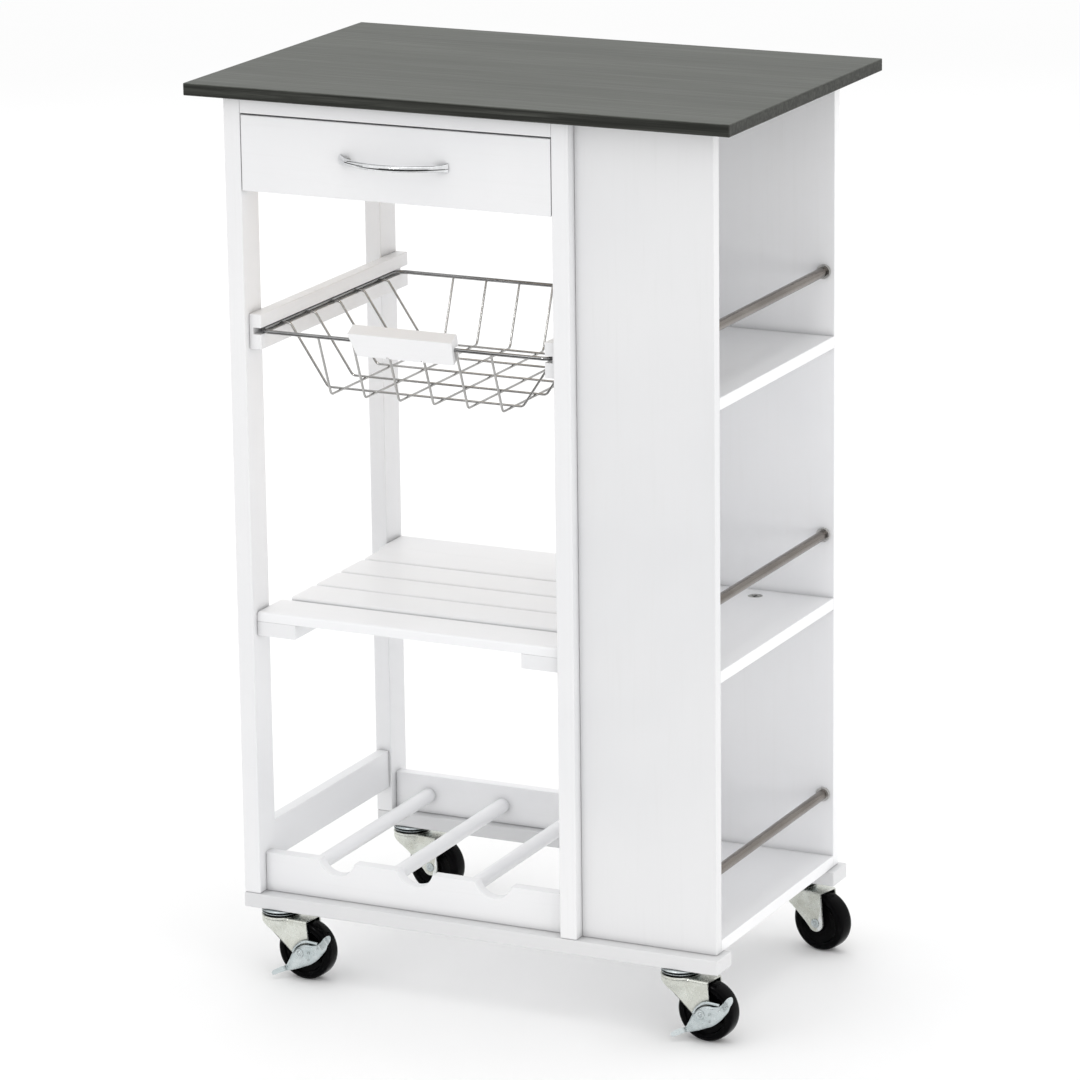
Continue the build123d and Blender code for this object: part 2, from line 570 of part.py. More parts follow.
with BuildPart() as rack_dowels:
    with BuildSketch(Plane.XZ.offset(-SIDE_FRONT[1])):
        with Locations(*[(x, DOWEL_Z) for x in DOWEL_X]):
            Circle(DOWEL_RADIUS)
    extrude(amount=-(RACK_BACK_FACE - SIDE_FRONT[1]))
finish(rack_dowels, "rack_dowels")


# ======== Casters ========
# Fixed half of each swivel: a stem in the rail, a domed race and the pin that carries the fork.
with BuildPart() as caster_stems:
    for x, y, angle, brake in CASTERS.values():
        with BuildSketch(Plane((x, y, 0), x_dir=(1, 0, 0), z_dir=(0, -1, 0))):
            with BuildLine():
                Polyline(
                    (0, CASTER_HEIGHT + STEM_LENGTH),
                    (STEM_RADIUS, CASTER_HEIGHT + STEM_LENGTH),
                    (STEM_RADIUS, CASTER_HEIGHT),
                    (RACE_RADIUS - RACE_EASE, CASTER_HEIGHT),
                    (RACE_RADIUS, CASTER_HEIGHT - RACE_EASE),
                    (RACE_RADIUS - RACE_EASE, RACE_BOTTOM),
                    (AXLE_RADIUS, RACE_BOTTOM),
                    (AXLE_RADIUS, PLATE_Z[0] - 0.4),
                    (5.5, PLATE_Z[0] - 0.4),
                    (4.5, PLATE_Z[0] - 3.4),
                    (0, PLATE_Z[0] - 3.4),
                    close=True,
                )
            make_face()
        revolve(axis=Axis((x, y, 0), (0, 0, 1)))
finish(caster_stems, "caster_stems")


def caster_planes(x, y, angle):
    """Two planes of a caster: its floor plane, and its middle plane seen from the side."""
    turn = math.radians(angle)
    along = (math.cos(turn), math.sin(turn), 0)
    outward = (math.sin(turn), -math.cos(turn), 0)
    floor = Plane((x, y, 0), x_dir=along, z_dir=(0, 0, 1))
    middle = Plane((x, y, 0), x_dir=along, z_dir=outward)
    return floor, middle


def caster_fork(floor, middle):
    """Swivelling fork: a crown with a domed race, and two tapered legs."""
    with BuildPart() as fork:
        with BuildSketch(floor.offset(PLATE_Z[0])):
            Circle(RACE_RADIUS - 0.5)
            with Locations((-14.0, 0)):
                Rectangle(14.0 + TRAIL + 6.0, 2 * (LEG_INNER + LEG_THICK), align=(Align.MIN, Align.CENTER))
        extrude(amount=PLATE_Z[1] - PLATE_Z[0])
        with BuildSketch(floor.offset(PLATE_Z[1])):
            Circle(RACE_RADIUS - 0.5)
        extrude(amount=DISH_TOP - PLATE_Z[1], taper=30)
        for start in (LEG_INNER, -LEG_INNER - LEG_THICK):
            with BuildSketch(middle.offset(start)):
                with BuildLine():
                    Polyline((-14.0, PLATE_Z[1]), (TRAIL + 6.0, PLATE_Z[1]))
                    Line((-14.0, PLATE_Z[1]), (-14.0, PLATE_Z[0] - 4.0))
                    CenterArc((TRAIL, WHEEL_RADIUS), LEG_TIP_RADIUS, 0, 360)
                make_hull()
            extrude(amount=LEG_THICK)
        with BuildSketch(floor.offset(PLATE_Z[0] - 5.0)):
            Circle(AXLE_RADIUS + RUNNING_CLEARANCE)
        extrude(amount=15.0, mode=Mode.SUBTRACT)
        with BuildSketch(middle.offset(-20.0)):
            with Locations((TRAIL, WHEEL_RADIUS)):
                Circle(AXLE_RADIUS)
        extrude(amount=40.0, mode=Mode.SUBTRACT)
    return fork


def caster_axle(middle, brake):
    """Axle bolt with a round head outside and a nut behind."""
    head_start = LEG_INNER + LEG_THICK + (LEVER_THICK + 1.2 if brake else 0.0)
    with BuildPart() as axle:
        with BuildSketch(middle.offset(-LEG_INNER - LEG_THICK - 1.0)):
            with Locations((TRAIL, WHEEL_RADIUS)):
                Circle(AXLE_RADIUS)
        extrude(amount=LEG_INNER + LEG_THICK + 1.0 + head_start)
        with BuildSketch(middle.offset(head_start)):
            with Locations((TRAIL, WHEEL_RADIUS)):
                Circle(5.0)
        extrude(amount=2.4, taper=20)
        with BuildSketch(middle.offset(-LEG_INNER - LEG_THICK)):
            with Locations((TRAIL, WHEEL_RADIUS)):
                RegularPolygon(5.0, 6)
        extrude(amount=-4.0)
    return axle


def caster_wheel(middle):
    """Solid wheel with a crowned tread, recessed faces and a hub."""
    half = WHEEL_WIDTH / 2
    bore = AXLE_RADIUS + RUNNING_CLEARANCE
    centre = middle.from_local_coords(Vector(TRAIL, WHEEL_RADIUS, 0))
    with BuildPart() as wheel:
        with BuildSketch(Plane(centre, x_dir=middle.z_dir, z_dir=-middle.x_dir)):
            with BuildLine():
                tread = ThreePointArc(
                    (half - 1.5, WHEEL_RADIUS - 1.0),
                    (0, WHEEL_RADIUS),
                    (1.5 - half, WHEEL_RADIUS - 1.0),
                )
                Polyline(
                    tread @ 1,
                    (-half, WHEEL_RADIUS - 3.0),
                    (-half, 23.0),
                    (3.0 - half, 21.5),
                    (3.0 - half, 11.0),
                    (-HUB_WIDTH / 2, 9.0),
                    (-HUB_WIDTH / 2, bore),
                    (HUB_WIDTH / 2, bore),
                    (HUB_WIDTH / 2, 9.0),
                    (half - 3.0, 11.0),
                    (half - 3.0, 21.5),
                    (half, 23.0),
                    (half, WHEEL_RADIUS - 3.0),
                    tread @ 0,
                )
            make_face()
        revolve(axis=Axis(centre, middle.z_dir))
    return wheel


def brake_lever(middle):
    """Leaf-shaped lever on the axle, with a pedal bent outward and a tab over the tread."""
    turn = math.radians(LEVER_ANGLE)
    lengthwise = middle.x_dir * math.cos(turn) + Vector(0, 0, 1) * math.sin(turn)
    centre = middle.from_local_coords(Vector(TRAIL, WHEEL_RADIUS, LEG_INNER + LEG_THICK + 0.6))
    face = Plane(centre, x_dir=lengthwise, z_dir=middle.z_dir)
    edge_on = Plane(centre, x_dir=lengthwise, z_dir=-face.y_dir)
    tip = WHEEL_RADIUS + 3.0
    with BuildPart() as lever:
        with BuildSketch(face):
            with BuildLine():
                Spline((-26.0, -4.0), (-6.0, 10.5), (10.0, 3.5), (tip, 3.0))
                Line((tip, 3.0), (tip, -4.0))
                ThreePointArc((tip, -4.0), (4.0, -13.5), (-26.0, -4.0))
            make_face()
            Circle(AXLE_RADIUS + RUNNING_CLEARANCE, mode=Mode.SUBTRACT)
        extrude(amount=LEVER_THICK)
        with BuildSketch(edge_on.offset(-3.0)):
            with Locations((tip - LEVER_THICK / 2, LEVER_THICK)):
                Rectangle(LEVER_THICK, 13.0, align=(Align.CENTER, Align.MAX))
        extrude(amount=7.0)
        with BuildSketch(edge_on.offset(-3.0)):
            with BuildLine():
                Polyline(
                    (-20.0, 0),
                    (-26.0, 0),
                    (-36.3, 12.3),
                    (-35.2, 13.3),
                    (-25.4, LEVER_THICK),
                    (-20.0, LEVER_THICK),
                    close=True,
                )
            make_face()
        extrude(amount=9.0)
    return lever


for name, (x, y, angle, brake) in CASTERS.items():
    floor_plane, middle_plane = caster_planes(x, y, angle)
    finish(caster_fork(floor_plane, middle_plane), f"{name}_caster_fork")
    finish(caster_axle(middle_plane, brake), f"{name}_caster_axle")
    finish(caster_wheel(middle_plane), f"{name}_caster_wheel")
    if brake:
        finish(brake_lever(middle_plane), f"{name}_caster_brake_lever")
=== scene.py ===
import json
import math

import bmesh
import bpy
from mathutils import Matrix, Vector


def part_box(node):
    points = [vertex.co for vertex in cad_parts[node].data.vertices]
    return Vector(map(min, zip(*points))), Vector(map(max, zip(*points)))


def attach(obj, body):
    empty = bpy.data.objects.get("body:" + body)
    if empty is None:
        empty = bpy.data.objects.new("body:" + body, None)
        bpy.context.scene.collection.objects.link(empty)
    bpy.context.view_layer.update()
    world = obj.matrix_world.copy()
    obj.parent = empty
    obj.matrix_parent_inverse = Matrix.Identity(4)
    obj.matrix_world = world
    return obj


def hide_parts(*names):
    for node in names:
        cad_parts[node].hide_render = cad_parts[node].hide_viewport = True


# Rolling kitchen cart. Everything is in metres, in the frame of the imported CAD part: +X to the
# right, -Y to the front, +Z up, floor at Z = 0. Boards, posts, slats, rods and the basket grip are
# the CAD nodes themselves. Wires, handle and casters are finer pieces that stand for CAD nodes.

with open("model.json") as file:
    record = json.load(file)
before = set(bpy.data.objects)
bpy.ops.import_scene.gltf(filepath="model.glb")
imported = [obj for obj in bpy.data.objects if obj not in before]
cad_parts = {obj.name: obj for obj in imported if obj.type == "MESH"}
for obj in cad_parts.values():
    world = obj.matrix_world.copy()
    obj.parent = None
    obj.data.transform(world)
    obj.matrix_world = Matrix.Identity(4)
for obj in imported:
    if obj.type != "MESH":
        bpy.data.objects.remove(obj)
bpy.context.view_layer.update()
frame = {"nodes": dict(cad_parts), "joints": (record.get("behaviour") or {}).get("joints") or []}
NODES = frame["nodes"]
JOINTS = {joint["name"]: joint for joint in frame["joints"]}
MM = 0.001
UP = Vector((0, 0, 1))
CORNERS = ("front_left", "front_right", "back_left", "back_right")
BRAKED = ("front_left", "front_right")


# ======== Materials ========
class Finish:
    """A procedural material, with short calls for the nodes that the finishes share."""

    def __init__(self, name, **sockets):
        self.material = bpy.data.materials.new(name)
        self.material.use_nodes = True
        self.tree = self.material.node_tree
        self.shader = self.tree.nodes["Principled BSDF"]
        self.place = self.add("ShaderNodeTexCoord").outputs["Object"]
        for socket, value in sockets.items():
            self.shader.inputs[socket.replace("_", " ")].default_value = value

    def add(self, kind, inputs=None, **settings):
        """A node with its inputs, which are values or the outputs of other nodes."""
        made = self.tree.nodes.new(kind)
        for key, value in settings.items():
            setattr(made, key, value)
        for key, value in (inputs or {}).items():
            if isinstance(value, bpy.types.NodeSocket):
                self.tree.links.new(value, made.inputs[key])
            else:
                made.inputs[key].default_value = value
        return made

    def noise(self, frequency, detail=4.0, distortion=0.0, roughness=0.5):
        """Noise whose frequency along X, Y and Z is in waves per metre."""
        mapped = self.add("ShaderNodeMapping", {"Vector": self.place, "Scale": frequency})
        inputs = {"Vector": mapped.outputs[0], "Scale": 1.0, "Detail": detail}
        inputs.update({"Distortion": distortion, "Roughness": roughness})
        return self.add("ShaderNodeTexNoise", inputs).outputs[0]

    def spread(self, value, start, end, low=0.0, high=1.0):
        """Maps start..end to low..high, clamped and eased."""
        inputs = {"Value": value, "From Min": start, "From Max": end, "To Min": low, "To Max": high}
        made = self.add("ShaderNodeMapRange", inputs, interpolation_type="SMOOTHSTEP")
        return made.outputs[0]

    def math(self, operation, *values):
        return self.add("ShaderNodeMath", dict(enumerate(values)), operation=operation).outputs[0]

    def mix(self, factor, first, second):
        """A colour between two colours."""
        made = self.add("ShaderNodeMix", data_type="RGBA")
        for index, value in ((0, factor), (6, first), (7, second)):
            if isinstance(value, bpy.types.NodeSocket):
                self.tree.links.new(value, made.inputs[index])
            else:
                made.inputs[index].default_value = value if index == 0 else (*value, 1.0)
        return made.outputs[2]

    def edges(self, radius):
        """About 1 beside sharp edges and 0 on flat faces."""
        rounded = self.add("ShaderNodeBevel", {"Radius": radius}, samples=4).outputs[0]
        normal = self.add("ShaderNodeNewGeometry").outputs["Normal"]
        inputs = {0: rounded, 1: normal}
        facing = self.add("ShaderNodeVectorMath", inputs, operation="DOT_PRODUCT").outputs["Value"]
        return self.spread(facing, 0.995, 0.85)

    def rubbed(self, radius, frequency, patches, wear):
        """Patchy wear along sharp edges. Noise over the span of patches gives the span of wear."""
        sharp = self.edges(radius)
        spots = self.noise((frequency, frequency, frequency))
        return self.math("MULTIPLY", sharp, self.spread(spots, *patches, *wear))

    def painted_cavity_shade(self, reach, dark, light=1.0):
        """Painted shade from ambient occlusion: light on open faces, down to dark in joints and grooves
        narrower than reach.
        """
        inputs = {"Distance": reach}
        open_share = self.add("ShaderNodeAmbientOcclusion", inputs, samples=6).outputs["AO"]
        return self.spread(open_share, 0.35, 0.95, dark, light)

    def shaded(self, colour, shade):
        """A colour times a single value."""
        made = self.add("ShaderNodeMix", data_type="RGBA", blend_type="MULTIPLY")
        made.inputs[0].default_value = 1.0
        self.tree.links.new(colour, made.inputs[6])
        self.tree.links.new(shade, made.inputs[7])
        return made.outputs[2]

    def upward(self):
        """The height share of the surface normal: 1 on top faces."""
        normal = self.add("ShaderNodeNewGeometry").outputs["Normal"]
        return self.add("ShaderNodeSeparateXYZ", {0: normal}).outputs["Z"]

    def bump(self, *layers):
        """Stacked bumps, each a height, a strength and a depth in metres."""
        normal = None
        for height, strength, depth in layers:
            inputs = {"Height": height, "Strength": strength, "Distance": depth}
            if normal is not None:
                inputs["Normal"] = normal
            normal = self.add("ShaderNodeBump", inputs).outputs[0]
        self.link("Normal", normal)

    def link(self, socket, value):
        """Drives an input of the surface shader."""
        self.tree.links.new(value, self.shader.inputs[socket])


def along(axis, lengthwise, crosswise):
    """Frequencies for a grain that runs along one axis."""
    return tuple(lengthwise if i == axis else crosswise for i in range(3))


def lacquer(axis, name="white_lacquer", painted_light_scale=1.0):
    """White satin lacquer on wood, with faint grain along one axis, lightly rubbed edges and painted
    shade in joints and grooves. Its last argument scales the whole colour: above 1 it paints light,
    below 1 it paints shade.
    """
    made = Finish(f"{name}_along_{'xyz'[axis]}", IOR=1.48, Coat_Weight=0.25, Coat_Roughness=0.22)
    clouds = made.noise((3.0, 3.0, 3.0), 3.0)
    grain = made.noise(along(axis, 9.0, 240.0), 5.0, 0.6)
    fine = made.noise(along(axis, 40.0, 1300.0), 2.0)
    peel = made.noise((900.0, 900.0, 900.0), 1.0)
    tone = made.mix(made.spread(clouds, 0.35, 0.65), (0.822, 0.825, 0.837), (0.862, 0.862, 0.869))
    tone = made.mix(made.spread(grain, 0.5, 0.85, 0.0, 0.4), tone, (0.80, 0.80, 0.80))
    worn = made.rubbed(0.0016, 60.0, (0.4, 0.7), (0.1, 0.5))
    tone = made.mix(worn, tone, (0.76, 0.755, 0.74))
    # Painted shade: the colour darkens to 72% in joints and grooves, and all of it is scaled by the
    # lacquer's painted light or shade factor.
    made.link("Base Color", made.shaded(tone, made.painted_cavity_shade(0.009, 0.72 * painted_light_scale, painted_light_scale)))
    made.link("Roughness", made.spread(made.noise((25.0, 25.0, 25.0), 4.0), 0.3, 0.7, 0.30, 0.42))
    made.bump((grain, 0.25, 0.00012), (fine, 0.15, 0.00004), (peel, 0.08, 0.00003))
    return made.material


def worktop_laminate():
    """Anthracite oak laminate: streaks and pores along X, darker on every face that doesn't point up, a
    thin lighter arris.
    """
    made = Finish("anthracite_oak", IOR=1.4, Specular_IOR_Level=0.15)
    broad = made.noise((1.6, 26.0, 26.0), 4.0, 0.9)
    streak = made.noise((5.0, 260.0, 260.0), 6.0, 0.4, 0.65)
    pores = made.noise((26.0, 900.0, 900.0), 3.0)
    tone = made.mix(made.spread(broad, 0.3, 0.7), (0.072, 0.077, 0.067), (0.094, 0.100, 0.088))
    tone = made.mix(made.spread(streak, 0.45, 0.75, 0.0, 0.7), tone, (0.124, 0.130, 0.116))
    tone = made.mix(made.spread(pores, 0.56, 0.72, 0.0, 0.75), tone, (0.060, 0.063, 0.056))
    dark = made.mix(made.spread(streak, 0.35, 0.75), (0.022, 0.023, 0.020), (0.080, 0.083, 0.074))
    tone = made.mix(made.spread(made.upward(), 0.35, 0.8), dark, tone)
    worn = made.rubbed(0.0012, 90.0, (0.35, 0.65), (0.15, 0.6))
    made.link("Base Color", made.mix(worn, tone, (0.17, 0.17, 0.16)))
    made.link("Roughness", made.spread(streak, 0.3, 0.7, 0.38, 0.52))
    made.bump((streak, 0.35, 0.00010), (pores, 0.5, 0.00008))
    return made.material


def plain_wood():
    """Raw beech for the drawer bottom."""
    made = Finish("raw_beech", IOR=1.45)
    rings = made.noise((90.0, 5.0, 160.0), 5.0, 1.2)
    flecks = made.noise((700.0, 60.0, 700.0), 2.0)
    tone = made.mix(made.spread(rings, 0.3, 0.7), (0.60, 0.47, 0.33), (0.70, 0.58, 0.43))
    made.link("Base Color", made.mix(made.spread(flecks, 0.6, 0.7, 0.0, 0.6), tone, (0.46, 0.33, 0.21)))
    made.link("Roughness", made.spread(rings, 0.3, 0.7, 0.5, 0.62))
    made.bump((rings, 0.3, 0.0001), (flecks, 0.3, 0.00006))
    return made.material


def metal(
    name, dark, light, roughness, cloud=40.0, scratch=(500.0, 500.0, 500.0), depth=0.00002, **sockets,
):
    """A metal with cloudy colour and roughness and a fine scratch or brush pattern."""
    made = Finish(name, Metallic=1.0, **sockets)
    haze = made.noise((cloud, cloud, cloud), 4.0)
    lines = made.noise(scratch, 3.0, 0.0, 0.6)
    blend = made.math("MULTIPLY_ADD", haze, 0.6, made.math("MULTIPLY", lines, 0.4))
    made.link("Base Color", made.mix(made.spread(blend, 0.3, 0.7), dark, light))
    made.link("Roughness", made.spread(haze, 0.3, 0.7, *roughness))
    made.bump((lines, 0.3, depth))
    return made.material


def zinc(name, dark, light):
    """Zinc-plated sheet with a fine spangle, with painted shade where two parts nearly touch."""
    made = Finish(name, Metallic=1.0)
    cells = made.add("ShaderNodeTexVoronoi", {"Vector": made.place, "Scale": 420.0})
    haze = made.noise((70.0, 70.0, 70.0), 4.0)
    worn = made.rubbed(0.0006, 200.0, (0.3, 0.6), (0.3, 0.9))
    tone = made.mix(made.spread(haze, 0.25, 0.75), dark, light)
    tone = made.mix(worn, tone, (0.90, 0.92, 0.92))
    # Painted shade: the colour darkens to a quarter in gaps narrower than 4 mm.
    made.link("Base Color", made.shaded(tone, made.painted_cavity_shade(0.004, 0.25)))
    made.link("Roughness", made.spread(cells.outputs["Distance"], 0.0, 0.8, 0.24, 0.32))
    made.bump((haze, 0.2, 0.00006), (cells.outputs["Distance"], 0.03, 0.00002))
    return made.material


def black_plastic():
    """Glossy black moulded wheel with a few dull scuffs."""
    made = Finish("black_wheel", IOR=1.4, Specular_IOR_Level=0.06)
    scuff = made.noise((230.0, 230.0, 230.0), 6.0, 0.4)
    mould = made.noise((1400.0, 1400.0, 1400.0), 1.0)
    marks = made.spread(scuff, 0.62, 0.8, 0.0, 0.5)
    made.link("Base Color", made.mix(marks, (0.0020, 0.0020, 0.0023), (0.010, 0.009, 0.008)))
    made.link("Roughness", made.spread(scuff, 0.45, 0.8, 0.09, 0.28))
    made.bump((scuff, 0.06, 0.00004), (mould, 0.05, 0.00001))
    return made.material


LACQUER = [lacquer(axis) for axis in range(3)]
# Lit and shaded copies of the one white lacquer: painted shade on the compartment front board and the
# base rails, painted light on the boards, shelves, rack and slats inside the cart.
SHADED_BOARD_LACQUER = lacquer(2, "shaded_board_lacquer", 0.92)
SHADED_RAIL_LACQUER = lacquer(0, "shaded_rail_lacquer", 0.85)
LIT_INNER_LACQUER = [lacquer(axis, "lit_inner_lacquer", 1.08) for axis in range(3)]
LAMINATE = worktop_laminate()
BEECH = plain_wood()
ZINC = zinc("zinc_plate", (0.60, 0.61, 0.55), (0.72, 0.74, 0.69))
BRIGHT_ZINC = zinc("bright_zinc", (0.50, 0.56, 0.57), (0.66, 0.71, 0.72))
WHEEL_BLACK = black_plastic()
CHROME = metal("handle_chrome", (0.66, 0.67, 0.68), (0.86, 0.87, 0.88), (0.05, 0.13))
WIRE = metal("plated_wire", (0.36, 0.355, 0.345), (0.52, 0.515, 0.505), (0.15, 0.24), cloud=25.0)
RIM = metal("plated_rim", (0.22, 0.22, 0.22), (0.36, 0.36, 0.36), (0.12, 0.20), cloud=25.0)
ROD_STEEL = metal(
    "rod_steel", (0.135, 0.118, 0.105), (0.235, 0.212, 0.192), (0.15, 0.22), cloud=14.0,
    scratch=(2600.0, 9.0, 2600.0), depth=0.00003, Anisotropic=0.5,
)
COLLAR = metal("collar_steel", (0.50, 0.49, 0.47), (0.72, 0.71, 0.69), (0.22, 0.32), cloud=60.0)
FITTING = metal("fitting_metal", (0.30, 0.30, 0.29), (0.55, 0.55, 0.53), (0.30, 0.45), cloud=300.0)


def paint(node, material):
    """Gives a CAD node its material."""
    slots = NODES[node].data.materials
    slots.clear()
    slots.append(material)


def longest_axis(node):
    """Index of the axis along which a CAD node is longest."""
    low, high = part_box(node)
    size = high - low
    return max(range(3), key=lambda i: size[i])


for node in NODES:
    paint(node, LACQUER[longest_axis(node)])
paint("worktop", LAMINATE)
paint("drawer_bottom", BEECH)
for node in ("cam_locks", "handle_screws"):
    paint(node, FITTING)
paint("guard_rods", ROD_STEEL)
paint("rod_collars", COLLAR)
# Painted shade: darker copies of the lacquer on the compartment front board and the base rails.
paint("compartment_front_board", SHADED_BOARD_LACQUER)
for node in ("front_base_rail", "back_base_rail"):
    paint(node, SHADED_RAIL_LACQUER)
# Painted light: a lighter copy of the lacquer on the boards, shelves, rack and slats inside the cart.
for node in ("compartment_back_board", "divider_panel", "rack_back_board", "rack_dowels"):
    paint(node, LIT_INNER_LACQUER[longest_axis(node)])
for node in ("upper_side_shelf", "middle_side_shelf", "bottom_side_panel"):
    paint(node, LIT_INNER_LACQUER[1])
for node in ("shelf_front_slat", "shelf_middle_slats", "shelf_back_slat"):
    paint(node, LIT_INNER_LACQUER[0])


# ======== Mesh helpers ========
WELD = 0.001 * MM                  # points closer than this become one
SHARP_ANGLE = math.radians(35.0)   # faces that meet at more than this are shaded apart
BEVEL_ANGLE = math.radians(40.0)   # and at more than this they can get a bevel
BEVEL_SEGMENTS = 2


def skin(rings, closed=False):
    """Vertices and faces of the surface through rings of equal length. An open one gets end caps."""
    count = len(rings[0])
    vertices = [point for ring in rings for point in ring]
    faces = []
    for i in range(len(rings) if closed else len(rings) - 1):
        here, there = i * count, (i + 1) % len(rings) * count
        for j in range(count):
            k = (j + 1) % count
            faces.append((here + j, here + k, there + k, there + j))
    if not closed:
        faces.append(tuple(reversed(range(count))))
        faces.append(tuple(range(len(vertices) - count, len(vertices))))
    return vertices, faces


def tube(path, radius, normal, sides=12, closed=False):
    """A round bar along a flat path; normal stands on the plane of the path."""
    rings = []
    for i, point in enumerate(path):
        before = path[i - 1] if closed or i else point
        after = path[(i + 1) % len(path)] if closed or i + 1 < len(path) else point
        side = (after - before).normalized().cross(normal)
        turns = [2 * math.pi * k / sides for k in range(sides)]
        rings.append([point + radius * (math.cos(a) * normal + math.sin(a) * side) for a in turns])
    return skin(rings, closed)


def rounded(corners, radii, steps=6):
    """The points of a path with an arc at each inner corner."""
    path = [corners[0]]
    for before, corner, after, radius in zip(corners, corners[1:], corners[2:], radii):
        back = (before - corner).normalized()
        ahead = (after - corner).normalized()
        half = back.angle(ahead) / 2
        centre = corner + (back + ahead).normalized() * (radius / math.sin(half))
        start = corner + back * (radius / math.tan(half)) - centre
        end = corner + ahead * (radius / math.tan(half)) - centre
        turns = [start.normalized().slerp(end.normalized(), i / steps) for i in range(steps + 1)]
        path += [centre + turn * radius for turn in turns]
    return path + [corners[-1]]


def lathe(profile, centre, axis, steps):
    """A body of revolution. The profile is a closed loop of (radius, height along the axis)."""
    first = axis.orthogonal().normalized()
    second = axis.cross(first)
    rings = []
    for i in range(steps):
        turn = 2 * math.pi * i / steps
        outward = math.cos(turn) * first + math.sin(turn) * second
        rings.append([centre + outward * radius + axis * height for radius, height in profile])
    return skin(rings, closed=True)


def smooth_height(points, x):
    """Height at x of a smooth curve through (x, height) points."""
    last = len(points) - 1
    i = max(k for k in range(last) if k == 0 or points[k][0] <= x)

    def slope(k):
        low, high = points[max(k - 1, 0)], points[min(k + 1, last)]
        return (high[1] - low[1]) / (high[0] - low[0])

    (x0, h0), (x1, h1) = points[i], points[i + 1]
    gap = x1 - x0
    t = (x - x0) / gap
    ease = t * t * (3 - 2 * t)
    lift = (t - 2 * t * t + t ** 3) * slope(i) + (t ** 3 - t * t) * slope(i + 1)
    return h0 + (h1 - h0) * ease + gap * lift


def make(name, shells, body, material, replaces=(), bevel=0.0):
    """One piece from closed shells, riding on a body and standing for CAD nodes."""
    mesh = bpy.data.meshes.new(name)
    work = bmesh.new()
    for vertices, faces in shells:
        made = [work.verts.new(point) for point in vertices]
        for face in faces:
            work.faces.new([made[i] for i in face])
    bmesh.ops.remove_doubles(work, verts=work.verts, dist=WELD)
    bmesh.ops.dissolve_degenerate(work, edges=work.edges, dist=WELD)
    bmesh.ops.recalc_face_normals(work, faces=work.faces)
    work.to_mesh(mesh)
    work.free()
    mesh.shade_smooth()
    mesh.set_sharp_from_angle(angle=SHARP_ANGLE)
    mesh.materials.append(material)
    piece = bpy.data.objects.new(name, mesh)
    bpy.context.scene.collection.objects.link(piece)
    if bevel:
        edge = piece.modifiers.new("edge", "BEVEL")
        edge.width = bevel
        edge.segments = BEVEL_SEGMENTS
        edge.limit_method = "ANGLE"
        edge.angle_limit = BEVEL_ANGLE
    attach(piece, body)
    if replaces:
        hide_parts(*replaces)


# ======== Wire basket ========
RIM_RADIUS = 2.0 * MM
WIRE_RADIUS = 1.2 * MM
RIM_CORNER = 12.0 * MM
WIRE_BEND = 6.0 * MM
FLOOR_END = 8.0 * MM               # the CAD floor wires stop this far inside the bends
LONG_WIRES = 6
CROSS_WIRES = 5
SHOULDER = 12.0 * MM               # the cross wires run level this far inside the rim
SHOULDER_BEND = 4.0 * MM

rim_low, rim_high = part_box("basket_rim")
rim_z = (rim_low.z + rim_high.z) / 2
rim_x = (rim_low.x + RIM_RADIUS, rim_high.x - RIM_RADIUS)
rim_y = (rim_low.y + RIM_RADIUS, rim_high.y - RIM_RADIUS)
rim_corners = [Vector((x, y, rim_z)) for x, y in (
    (rim_x[0], rim_y[0]), (rim_x[1], rim_y[0]), (rim_x[1], rim_y[1]), (rim_x[0], rim_y[1]),
)]
rim_middle = (rim_corners[3] + rim_corners[0]) / 2
rim_path = rounded([rim_middle, *rim_corners, rim_middle], [RIM_CORNER] * 4, 10)[:-1]
make("basket_rim_wire", [tube(rim_path, RIM_RADIUS, UP, 16, closed=True)],
     "basket", RIM, ["basket_rim"])

end_low, end_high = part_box("basket_end_wires")
side_low, side_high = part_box("basket_side_wires")
floor_low, floor_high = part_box("basket_floor_grid")
long_floor_z = floor_low.z + WIRE_RADIUS
cross_floor_z = floor_high.z - WIRE_RADIUS


def spaced(low, high, count):
    """Centre lines of evenly spaced wires between the outer faces low and high."""
    start, end = low + WIRE_RADIUS, high - WIRE_RADIUS
    return [start + (end - start) * i / (count - 1) for i in range(count)]


def long_wire(x):
    """A wire from front to back under the basket, welded to the underside of the rim at both ends."""
    floor_y = (floor_low.y - FLOOR_END, floor_high.y + FLOOR_END)
    ends = [Vector((x, y, rim_z - RIM_RADIUS / 2)) for y in rim_y]
    bends = [Vector((x, y, long_floor_z)) for y in floor_y]
    path = rounded([ends[0], *bends, ends[1]], [WIRE_BEND, WIRE_BEND])
    return tube(path, WIRE_RADIUS, Vector((1, 0, 0)))


def cross_wire(y):
    """A wire from side to side, straight out to the rim inside the runner grooves."""
    floor_x = (floor_low.x - FLOOR_END, floor_high.x + FLOOR_END)
    points = [
        (rim_x[0] + RIM_RADIUS, rim_z),
        (rim_x[0] + SHOULDER, rim_z),
        (floor_x[0], cross_floor_z),
        (floor_x[1], cross_floor_z),
        (rim_x[1] - SHOULDER, rim_z),
        (rim_x[1] - RIM_RADIUS, rim_z),
    ]
    bends = [SHOULDER_BEND, WIRE_BEND, WIRE_BEND, SHOULDER_BEND]
    path = rounded([Vector((x, y, z)) for x, z in points], bends)
    return tube(path, WIRE_RADIUS, Vector((0, 1, 0)))


make("basket_long_wires", [long_wire(x) for x in spaced(end_low.x, end_high.x, LONG_WIRES)],
     "basket", WIRE, ["basket_end_wires", "basket_floor_grid"])
make("basket_cross_wires", [cross_wire(y) for y in spaced(side_low.y, side_high.y, CROSS_WIRES)],
     "basket", WIRE, ["basket_side_wires"])


